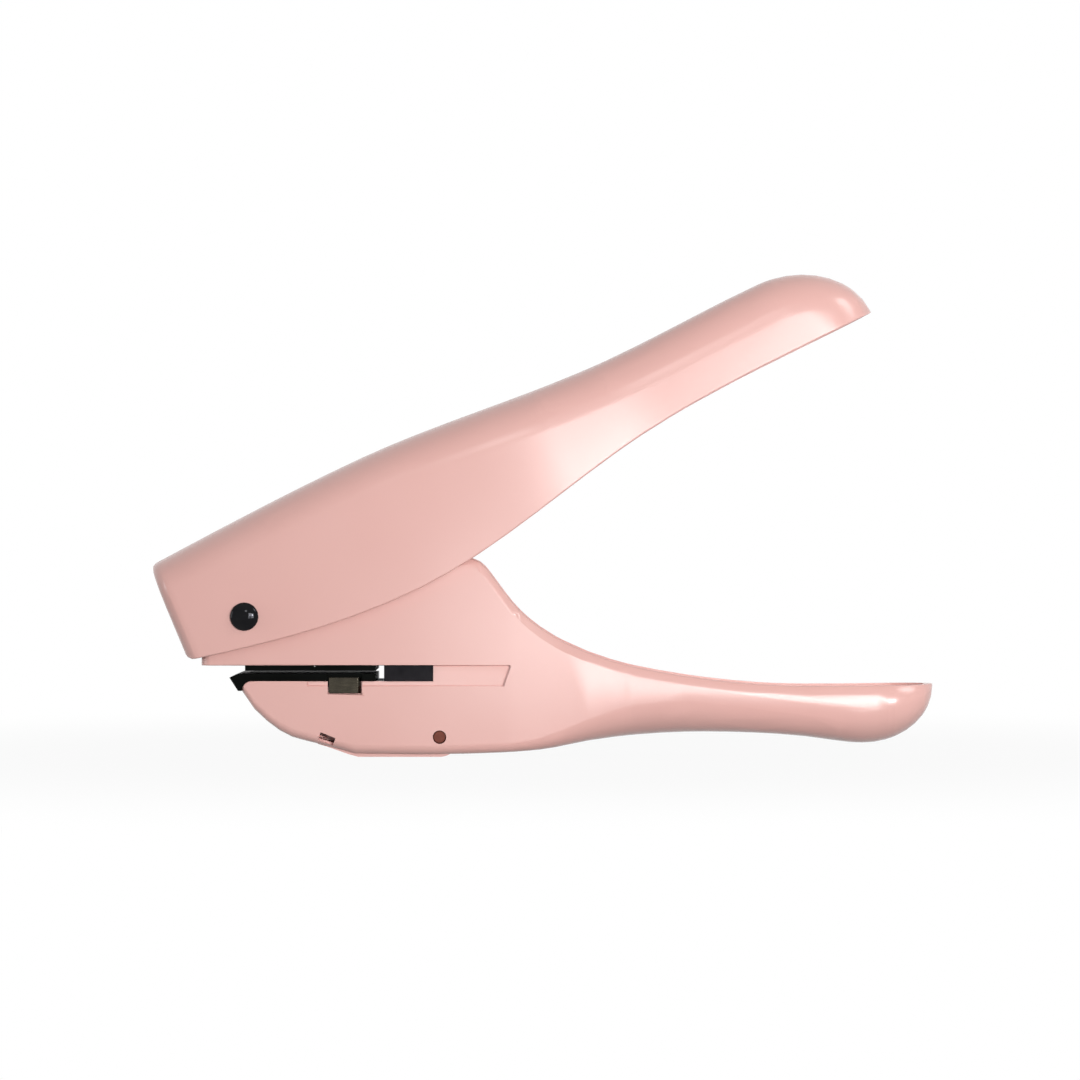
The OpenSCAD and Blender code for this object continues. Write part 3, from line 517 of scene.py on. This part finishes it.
@dataclass
class SubAssembly:
    """Pieces that are made and fitted together.

    Fields:
        corner_deg: Edges that turn more than this are corners.
        smooth_deg: Faces that turn less than this share one smooth surface.
        weld_mm: Corners of a CAD mesh that are closer than this become one.
        flat_deg: Faces that turn less than this become one face.
        edge_steps: Facets across a rounded edge.
        edge_profile: Form of a rounded edge, where 0.5 is round.
        face_weight: How much more a large face counts in the shading than a small one.
    """

    corner_deg: float = 40.0
    smooth_deg: float = 50.0
    weld_mm: float = 0.005
    flat_deg: float = 0.3
    edge_steps: int = 3
    edge_profile: float = 0.5
    face_weight: int = 50

    def build(self) -> None:
        """Makes every piece of the sub-assembly."""
        raise NotImplementedError

    def copy_of(self, node: str) -> bpy.types.Object:
        """Copies a CAD node's mesh into a new piece and joins its loose triangles.

        Args:
            node: Name of the CAD node.

        Returns:
            The new piece, in object mode.
        """
        piece = bpy.data.objects.new(f"{node}_finished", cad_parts[node].data.copy())
        bpy.context.scene.collection.objects.link(piece)
        hold(piece)
        piece.data.materials.clear()
        bpy.ops.mesh.customdata_custom_splitnormals_clear()
        bpy.ops.object.mode_set(mode="EDIT")
        bpy.ops.mesh.select_all(action="SELECT")
        bpy.ops.mesh.remove_doubles(threshold=self.weld_mm * MM)
        bpy.ops.mesh.dissolve_limited(angle_limit=math.radians(self.flat_deg))
        bpy.ops.object.mode_set(mode="OBJECT")
        return piece

    def round_edges(
        self,
        piece: bpy.types.Object,
        width_mm: float,
        test: Callable[[bmesh.types.BMEdge], bool] | None = None,
        clamp: bool = True,
    ) -> None:
        """Rounds the corners of a piece.

        Args:
            piece: Piece in object mode.
            width_mm: Width of the rounding on each face.
            test: Further test of the edges, or nothing for every corner.
            clamp: Whether the width gives way where faces are narrow.
        """
        hold(piece)
        bpy.ops.object.mode_set(mode="EDIT")
        count = pick_edges(
            piece, lambda e: is_corner(e, self.corner_deg) and (test is None or test(e))
        )
        if count:
            bpy.ops.mesh.bevel(
                offset=width_mm * MM,
                offset_type="OFFSET",
                segments=self.edge_steps,
                profile=self.edge_profile,
                affect="EDGES",
                clamp_overlap=clamp,
            )
        bpy.ops.object.mode_set(mode="OBJECT")

    def smooth(self, piece: bpy.types.Object) -> None:
        """Shades a piece smooth, with flat faces kept flat up to their rounded edges.

        Args:
            piece: Piece in object mode.
        """
        hold(piece)
        bpy.ops.object.shade_smooth_by_angle(angle=math.radians(self.smooth_deg))
        even = piece.modifiers.new("even_normals", "WEIGHTED_NORMAL")
        even.keep_sharp = True
        even.weight = self.face_weight
        bpy.ops.object.modifier_apply(modifier=even.name)

    def fit(
        self, piece: bpy.types.Object, node: str, body: Rides, slot: Slot, finish: Finish
    ) -> None:
        """Dresses a finished piece and puts it in its node's place.

        Args:
            piece: Finished piece.
            node: CAD node that it stands for.
            body: Body that it moves with.
            slot: Material slot; not used.
            finish: Surface of the piece.
        """
        piece.data.materials.clear()
        piece.data.materials.append(finish.material())
        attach(piece, body.value)
        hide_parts(node)
        LOG.info("%s: %d faces, %s", piece.name, len(piece.data.polygons), finish.name)

    def steel_piece(
        self, node: str, edge_mm: float, body: Rides, slot: Slot, finish: Finish
    ) -> None:
        """Finishes a cut or turned part: its corners are broken and its faces stay flat.

        Args:
            node: CAD node that is copied.
            edge_mm: Width of the broken corners.
            body: Body that the piece moves with.
            slot: Material slot.
            finish: Surface of the piece.
        """
        piece = self.copy_of(node)
        self.round_edges(piece, edge_mm)
        self.smooth(piece)
        self.fit(piece, node, body, slot, finish)


@dataclass
class Shells(SubAssembly):
    """Moulded handle and body.

    Fields:
        edge_mm: Rounding of the shells' outer edges.
        wall_side: Least share of a normal that has to point outwards on an outer face.
        base_mm: Height below which the body's thin lower edges stay as they are.
        wall_mm: Least distance from the middle plane of a face on an outer wall.
        crisp_mm: Ranges along X and of height round the recess's grooves, where edges stay crisp.
        smooth_deg: Less than the crease below the body's rim.
    """

    edge_mm: float = 0.4
    wall_side: float = 0.3
    base_mm: float = 9.0
    wall_mm: float = 9.0
    crisp_mm: tuple[tuple[float, float, float, float], ...] = (
        (-64.0, -13.9, 18.4, 20.7),
        (-14.0, -6.0, 18.4, 25.4),
    )
    smooth_deg: float = 32.0

    def build(self) -> None:
        """Makes the handle and the body."""
        for node, body, test in (
            ("handle_shell", Rides.HANDLE, self.is_outer),
            ("body_shell", Rides.FRAME, lambda e: self.is_plain(e) and self.is_outer(e)),
        ):
            piece = self.copy_of(node)
            self.round_edges(piece, self.edge_mm, test, clamp=False)
            self.smooth(piece)
            self.fit(piece, node, body, Slot.PINK_SHELL, PINK_ABS)

    def is_plain(self, edge: bmesh.types.BMEdge) -> bool:
        """Says whether an edge keeps clear of the body's thin lower edges and of the grooves.

        Args:
            edge: Edge of the body.

        Returns:
            True where there is room to round it.
        """
        for place in (vertex.co / MM for vertex in edge.verts):
            if place.z < self.base_mm:
                return False
            for left, right, low, high in self.crisp_mm:
                if left < place.x < right and low < place.z < high:
                    return False
        return True

    def is_outer(self, edge: bmesh.types.BMEdge) -> bool:
        """Says whether an edge borders the outside of a channel.

        Args:
            edge: Edge of the shell.

        Returns:
            True where one of its faces looks outwards.
        """
        for face in edge.link_faces:
            centre = face.calc_center_median()
            outwards = face.normal.y * math.copysign(1.0, centre.y)
            if outwards > self.wall_side and abs(centre.y) > self.wall_mm * MM:
                return True
        return False


@dataclass
class PivotRivet(SubAssembly):
    """Domed rivet on which the handle turns.

    Fields:
        rim_mm: Height of the straight edge under each dome.
        rings: Steps from the edge of a dome to its top.
        sides: Facets round the rivet.
        shank_share: Radius of the shank as a share of the head's.
        seat_gap_mm: Room between the handle and each head.
        dome_deg: Angle at which a dome ends in a small flat.
        end_cosine: Least share of a normal along Y on the shank's end.
    """

    rim_mm: float = 0.3
    rings: int = 10
    sides: int = 64
    shank_share: float = 0.62
    seat_gap_mm: float = 0.05
    dome_deg: float = 84.0
    end_cosine: float = 0.99

    def build(self) -> None:
        """Turns a shank and forms a dome on either end."""
        low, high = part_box("pivot_rivet")
        middle = (low + high) / 2
        head_r = (high.x - low.x) / 2
        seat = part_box("handle_shell")[1].y + self.seat_gap_mm * MM
        deselect_all()
        bpy.ops.mesh.primitive_cylinder_add(
            vertices=self.sides,
            radius=head_r * self.shank_share,
            depth=2 * seat,
            location=middle,
            rotation=(math.pi / 2, 0, 0),
        )
        piece = bpy.context.object
        piece.name = "pivot_rivet_finished"
        bpy.ops.object.transform_apply(location=True, rotation=True, scale=True)
        rise = high.y - seat
        rim = self.rim_mm * MM
        profile = [(head_r, 0.0), (head_r, rim)]
        for i in range(1, self.rings + 1):
            turn = math.radians(self.dome_deg * i / self.rings)
            profile.append((head_r * math.cos(turn), rim + (rise - rim) * math.sin(turn)))
        for side in (-1.0, 1.0):
            self.form_head(piece, middle, side, seat, profile)
        self.smooth(piece)
        # The rivet's near-black colour is a painted reflection of dark surroundings.
        self.fit(piece, "pivot_rivet", Rides.FRAME, Slot.BRIGHT_RIVET, RIVET_PAINTED_DARK_REFLECTION)

    def form_head(
        self,
        piece: bpy.types.Object,
        middle: Vector,
        side: float,
        seat: float,
        profile: Sequence[tuple[float, float]],
    ) -> None:
        """Extrudes one end of the shank through the rings of a head.

        Args:
            piece: Rivet in object mode.
            middle: Middle of the rivet.
            side: -1 for the near end and 1 for the far end.
            seat: Distance of the head's underside from the middle plane.
            profile: Radius of each ring and its height above the seat.
        """
        hold(piece)
        bpy.ops.object.mode_set(mode="EDIT")
        pick_faces(
            piece,
            lambda f: f.normal.y * side > self.end_cosine and f.calc_center_median().y * side > 0,
        )
        radius, height = profile[0][0] * self.shank_share, 0.0
        for ring_r, ring_h in profile:
            bpy.ops.mesh.extrude_region_move(
                TRANSFORM_OT_translate={"value": (0, side * (ring_h - height), 0)}
            )
            centre = (middle.x, side * (seat + ring_h), middle.z)
            scale = ring_r / radius
            bpy.ops.transform.resize(value=(scale, 1, scale), center_override=centre)
            radius, height = ring_r, ring_h
        bpy.ops.object.mode_set(mode="OBJECT")


@dataclass
class PaperSlot(SubAssembly):
    """Plates, stop and screws round the sheet's slot.

    Fields:
        plate_edge_mm: Broken edge of the plates.
        block_edge_mm: Broken edge of the stop.
    """

    plate_edge_mm: float = 0.06
    block_edge_mm: float = 0.2

    def build(self) -> None:
        """Makes the two plates, the stop and their screws."""
        for node in ("guide_plate", "die_plate"):
            self.steel_piece(node, self.plate_edge_mm, Rides.FRAME, Slot.BLACK_PLATE, BLACK_OXIDE)
        self.steel_piece("stop_block", self.block_edge_mm, Rides.FRAME, Slot.DARK_BLOCK, PHOSPHATE)
        for node in ("guide_screws", "die_screws"):
            self.steel_piece(node, self.plate_edge_mm, Rides.FRAME, Slot.SCREW_STEEL, BLACK_OXIDE)


@dataclass
class HoleLocator(SubAssembly):
    """Pull-out gauge below the slot.

    Fields:
        edge_mm: Broken edge of the strip.
    """

    edge_mm: float = 0.12

    def build(self) -> None:
        """Makes the strip with its tab."""
        self.steel_piece("hole_locator", self.edge_mm, Rides.GAUGE, Slot.GAUGE_STEEL, OLIVE_STRIP)


@dataclass
class ChipDoor(SubAssembly):
    """Bottom cover and its hinge pin.

    Fields:
        cover_edge_mm: Rounding of the cover's edges.
        pin_edge_mm: Chamfer of the pin's ends.
    """

    cover_edge_mm: float = 0.25
    pin_edge_mm: float = 0.3

    def build(self) -> None:
        """Makes the cover and the pin."""
        self.steel_piece("chip_cover", self.cover_edge_mm, Rides.DOOR, Slot.PINK_COVER, PINK_COVER)
        # The pin's dark brown is painted shade for the inside of its hole.
        self.steel_piece("chip_cover_pin", self.pin_edge_mm, Rides.FRAME, Slot.SCREW_STEEL, PIN_PAINTED_HOLE_SHADE)


@dataclass
class PunchTrain(SubAssembly):
    """Lever, drive pin, punch, cap, spring and guide block.

    Fields:
        edge_mm: Broken edges of the steel parts.
        wire_mm: Wire of the spring.
        coils: Turns of the spring.
        wire_sides: Facets round the wire.
        coil_steps: Facets along one turn.
        seat_mm: Height of the surface that the spring stands on. Not used.
        stroke_mm: Travel of the punch when the handle is fully squeezed. Not used.
        ring_weld_mm: Corners of the wound wire that are closer than this become one.
    """

    edge_mm: float = 0.15
    wire_mm: float = 0.8
    coils: int = 4
    wire_sides: int = 12
    coil_steps: int = 48
    seat_mm: float = 26.2
    stroke_mm: float = 8.214
    ring_weld_mm: float = 0.002

    def build(self) -> None:
        """Makes the moving steel and what guides it."""
        self.steel_piece("lever", self.edge_mm, Rides.HANDLE, Slot.LEVER_STEEL, ZINC_LEVER)
        self.steel_piece("drive_pin", self.edge_mm, Rides.HANDLE, Slot.TOOL_STEEL, TOOL_STEEL)
        self.steel_piece("lever_screws", self.edge_mm, Rides.HANDLE, Slot.SCREW_STEEL, SCREW_ZINC)
        self.steel_piece("punch", self.edge_mm / 2, Rides.PUNCH, Slot.TOOL_STEEL, TOOL_STEEL)
        self.steel_piece("spring_cap", self.edge_mm, Rides.PUNCH, Slot.BLACK_PLASTIC, BLACK_ACETAL)
        self.steel_piece("guide_block", self.edge_mm, Rides.FRAME, Slot.FRAME_STEEL, ZINC_SHEET)
        self.wind_spring()

    def wind_spring(self) -> None:
        """Winds the return spring by screwing a round section up its axis."""
        low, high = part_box("return_spring")
        axis = (low + high) / 2
        mean_r = (high.x - low.x) / 2 - self.wire_mm * MM / 2
        pitch = (high.z - low.z - self.wire_mm * MM) / self.coils
        deselect_all()
        bpy.ops.mesh.primitive_circle_add(
            vertices=self.wire_sides,
            radius=self.wire_mm * MM / 2,
            location=(mean_r, 0, 0),
            rotation=(math.pi / 2, 0, 0),
        )
        piece = bpy.context.object
        piece.name = "return_spring_finished"
        bpy.ops.object.transform_apply(location=True, rotation=True, scale=True)
        wind = piece.modifiers.new("wind", "SCREW")
        wind.axis = "Z"
        wind.angle = 2 * math.pi
        wind.iterations = self.coils
        wind.screw_offset = pitch
        wind.steps = wind.render_steps = self.coil_steps
        wind.use_merge_vertices = True
        bpy.ops.object.modifier_apply(modifier=wind.name)
        piece.location = (axis.x, axis.y, low.z + self.wire_mm * MM / 2)
        bpy.ops.object.transform_apply(location=True, rotation=True, scale=True)
        bpy.ops.object.mode_set(mode="EDIT")
        bpy.ops.mesh.select_all(action="SELECT")
        bpy.ops.mesh.remove_doubles(threshold=self.ring_weld_mm * MM)
        for end in (low.z, high.z):
            pick_edges(piece, lambda e: self.is_open_end(e, end))
            bpy.ops.mesh.edge_face_add()
        bpy.ops.mesh.select_all(action="SELECT")
        bpy.ops.mesh.normals_make_consistent(inside=False)
        bpy.ops.object.mode_set(mode="OBJECT")
        self.smooth(piece)
        self.fit(piece, "return_spring", Rides.FRAME, Slot.SPRING_STEEL, SPRING_WIRE)
        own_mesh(piece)

    def is_open_end(self, edge: bmesh.types.BMEdge, height: float) -> bool:
        """Says whether an edge borders the open end of the wire at a height.

        Args:
            edge: Edge of the wound wire.
            height: Height of the spring's end in metres.

        Returns:
            True at that end.
        """
        middle = (edge.verts[0].co.z + edge.verts[1].co.z) / 2
        return edge.is_boundary and abs(middle - height) < self.wire_mm * MM


@dataclass
class SteelFrame(SubAssembly):
    """Side plates, cross rivets and die block inside the shell.

    Fields:
        edge_mm: Broken edges.
    """

    edge_mm: float = 0.15

    def build(self) -> None:
        """Makes the frame's pieces."""
        for node in ("frame_plate_near", "frame_plate_far", "die_block"):
            self.steel_piece(node, self.edge_mm, Rides.FRAME, Slot.FRAME_STEEL, ZINC_SHEET)
        self.steel_piece("frame_rivets", self.edge_mm, Rides.FRAME, Slot.SCREW_STEEL, SCREW_ZINC)


@dataclass(frozen=True)
class SoftBox:
    """One lamp of the studio.

    Fields:
        name: Name of the lamp.
        place: Its middle in millimetres.
        target: Point that it faces, in millimetres.
        size: Its width and height in millimetres.
        radiance: Brightness of its face, where 1 is white.
    """

    name: str
    place: tuple[float, float, float]
    target: tuple[float, float, float]
    size: tuple[float, float]
    radiance: float


LAMPS = (
    # A wide one right of the camera: the handle's grip mirrors it and the head doesn't
    SoftBox("soft_box_right", (246, -760, 122), (80, 0, 80), (324, 136), 15.5),
    # A small bright one beside it for the glint on the rivet's dome
    SoftBox("spark", (335, -770, 112), (-76, 0, 38), (80, 70), 60.0),
    # A low strip close by in three lengths: the neck and the lower grip mirror it
    SoftBox("strip_neck", (-15, -300, 27), (-15, 0, 27), (22, 48), 8.0),
    SoftBox("strip_middle", (18, -300, 26), (18, 0, 26), (44, 46), 3.6),
    SoftBox("strip_grip", (82, -300, 25), (82, 0, 25), (84, 44), 11.0),
    # A small one faces the sloping floor of the recess
    SoftBox("recess_light", (-35, -760, 284), (-20, 0, 22), (90, 80), 8.0),
    # A weak one beside the left end lights the rounded edge of the nose
    SoftBox("soft_box_left", (-520, -120, 90), (-100, 0, 45), (160, 240), 3.0),
    # A small one past the right end keeps the domed end and the tail from going dull
    SoftBox("soft_box_end", (360, -240, 340), (85, 0, 105), (150, 150), 7.0),
)


@dataclass
class Studio:
    """Floor, lamps and camera.

    Fields:
        eye: Place of the camera in millimetres.
        target: Point that it looks at, in millimetres.
        lens_mm: Focal length.
        sensor_mm: Width of the camera's sensor.
        sky_low: Light that the horizon gives to matt surfaces.
        sky_high: Light that the ceiling gives to matt surfaces.
        sky_back: Light that the wall behind adds, for the far side.
        sky_top: Upward share of a direction at which the ceiling's light is reached.
        sky_rear: Backward share of a direction at which the wall's light is reached.
        floor_half_m: Half of the floor's width in metres.
        floor_drop_mm: Distance of the floor below the object.
        floor_shade: Colour of the floor to the light that falls on it.
        shadow_share: How much of the floor's brightness a shadow can take away.
        shadow_core_m: Distance from the middle within which the shadow is full.
        shadow_reach_m: Distance from the middle at which it has faded.
    """

    eye: tuple[float, float, float] = (-0.75, -1207.0, 63.0)
    target: tuple[float, float, float] = (-0.75, 0.0, 58.25)
    lens_mm: float = 148.4
    sensor_mm: float = 36.0
    sky_low: float = 0.62
    sky_high: float = 0.02
    sky_back: float = 1.0
    sky_top: float = 0.8
    sky_rear: float = 0.6
    floor_half_m: float = 4.0
    floor_drop_mm: float = 0.02
    floor_shade: str = "#848484"
    shadow_share: float = 0.06
    shadow_core_m: float = 0.1
    shadow_reach_m: float = 0.32

    def build(self) -> None:
        """Sets the stage."""
        self.lay_floor()
        self.light_world()
        for lamp in LAMPS:
            self.hang_lamp(lamp)
        self.place_camera()
        bpy.context.scene.view_settings.view_transform = "Standard"

    def seen_directly(self, tree: bpy.types.NodeTree) -> bpy.types.NodeSocket:
        """Tells camera, mirror and glass rays from those that carry light.

        Args:
            tree: Node tree that gets the nodes.

        Returns:
            Socket that is 1 for a ray that shows the surface itself.
        """
        path = add_node(tree, "ShaderNodeLightPath")
        first = add_node(
            tree,
            "ShaderNodeMath",
            {0: path.outputs["Is Camera Ray"], 1: path.outputs["Is Glossy Ray"]},
            operation="MAXIMUM",
        )
        both = add_node(
            tree,
            "ShaderNodeMath",
            {0: first.outputs["Value"], 1: path.outputs["Is Transmission Ray"]},
            operation="MAXIMUM",
        )
        return both.outputs["Value"]

    def lay_floor(self) -> None:
        """Lays a pale floor that is white to the eye and keeps the shadow near the object."""
        deselect_all()
        bpy.ops.mesh.primitive_plane_add(
            size=2 * self.floor_half_m, location=(0, 0, -self.floor_drop_mm * MM)
        )
        floor = bpy.context.object
        floor.name = "studio_floor"
        bpy.ops.object.transform_apply(location=True, rotation=True, scale=True)
        paint = bpy.data.materials.new("floor_painted_matt_white")
        paint.use_nodes = True
        tree = paint.node_tree
        tree.nodes.clear()
        place = add_node(tree, "ShaderNodeTexCoord").outputs["Object"]
        away = add_node(tree, "ShaderNodeVectorMath", {0: place}, operation="LENGTH").outputs["Value"]
        glow = add_node(
            tree,
            "ShaderNodeMapRange",
            {
                "Value": away,
                "From Min": self.shadow_core_m,
                "From Max": self.shadow_reach_m,
                "To Min": 1 - self.shadow_share,
                "To Max": 1.0,
            },
            interpolation_type="SMOOTHSTEP",
        ).outputs["Result"]
        share = add_node(
            tree, "ShaderNodeMath", {0: glow, 1: self.seen_directly(tree)}, operation="MULTIPLY"
        ).outputs["Value"]
        matt = add_node(
            tree, "ShaderNodeBsdfDiffuse", {"Color": linear(self.floor_shade)}
        ).outputs["BSDF"]
        white = add_node(
            tree, "ShaderNodeEmission", {"Color": linear("#ffffff"), "Strength": 1.0}
        ).outputs["Emission"]
        mixed = add_node(tree, "ShaderNodeMixShader", {0: share, 1: matt, 2: white}).outputs["Shader"]
        add_node(tree, "ShaderNodeOutputMaterial", {"Surface": mixed})
        floor.data.materials.append(paint)

    def light_world(self) -> None:
        """Makes surroundings that look white and light matt surfaces softly."""
        world = bpy.data.worlds.new("studio")
        bpy.context.scene.world = world
        world.use_nodes = True
        tree = world.node_tree
        tree.nodes.clear()
        towards = add_node(tree, "ShaderNodeTexCoord").outputs["Generated"]
        axes = add_node(tree, "ShaderNodeSeparateXYZ", {"Vector": towards}).outputs
        dome = add_node(
            tree,
            "ShaderNodeMapRange",
            {
                "Value": axes["Z"],
                "From Max": self.sky_top,
                "To Min": self.sky_low,
                "To Max": self.sky_high,
            },
        ).outputs["Result"]
        back = add_node(
            tree,
            "ShaderNodeMapRange",
            {"Value": axes["Y"], "From Max": self.sky_rear, "To Max": self.sky_back},
            interpolation_type="SMOOTHSTEP",
        ).outputs["Result"]
        matt = add_node(tree, "ShaderNodeMath", {0: dome, 1: back}, operation="ADD").outputs["Value"]
        level = add_node(
            tree,
            "ShaderNodeMapRange",
            {"Value": self.seen_directly(tree), "To Min": matt, "To Max": 1.0},
        ).outputs["Result"]
        sky = add_node(tree, "ShaderNodeBackground", {"Color": linear("#ffffff"), "Strength": level})
        add_node(tree, "ShaderNodeOutputWorld", {"Surface": sky.outputs["Background"]})

    def hang_lamp(self, box: SoftBox) -> None:
        """Hangs a soft box.

        Args:
            box: Lamp to hang.
        """
        lamp = bpy.data.lights.new(box.name, "AREA")
        lamp.shape = "RECTANGLE"
        lamp.size, lamp.size_y = box.size[0] * MM, box.size[1] * MM
        lamp.energy = box.radiance * math.pi * lamp.size * lamp.size_y
        hung = bpy.data.objects.new(box.name, lamp)
        bpy.context.scene.collection.objects.link(hung)
        hung.location = Vector(box.place) * MM
        self.aim(hung, box.target)

    def aim(self, thing: bpy.types.Object, target: tuple[float, float, float]) -> None:
        """Turns a lamp or the camera towards a point.

        Args:
            thing: Lamp or camera in its place.
            target: Point to face, in millimetres.
        """
        towards = Vector(target) * MM - thing.location
        thing.rotation_euler = towards.to_track_quat("-Z", "Y").to_euler()

    def place_camera(self) -> None:
        """Puts the camera square to the near side, a little above its middle."""
        lens = bpy.data.cameras.new("eye")
        lens.sensor_width = self.sensor_mm
        lens.lens = self.lens_mm
        camera = bpy.data.objects.new("eye", lens)
        bpy.context.scene.collection.objects.link(camera)
        camera.location = Vector(self.eye) * MM
        self.aim(camera, self.target)
        bpy.context.scene.camera = camera


def main() -> None:
    """Builds the sub-assemblies and the stage."""
    logging.basicConfig(level=logging.INFO, format="%(name)s %(message)s")
    parts: tuple[SubAssembly, ...] = (
        Shells(),
        PivotRivet(),
        PaperSlot(),
        HoleLocator(),
        ChipDoor(),
        PunchTrain(),
        SteelFrame(),
    )
    for part in parts:
        part.build()
    Studio().build()


if __name__ == "__main__":
    main()
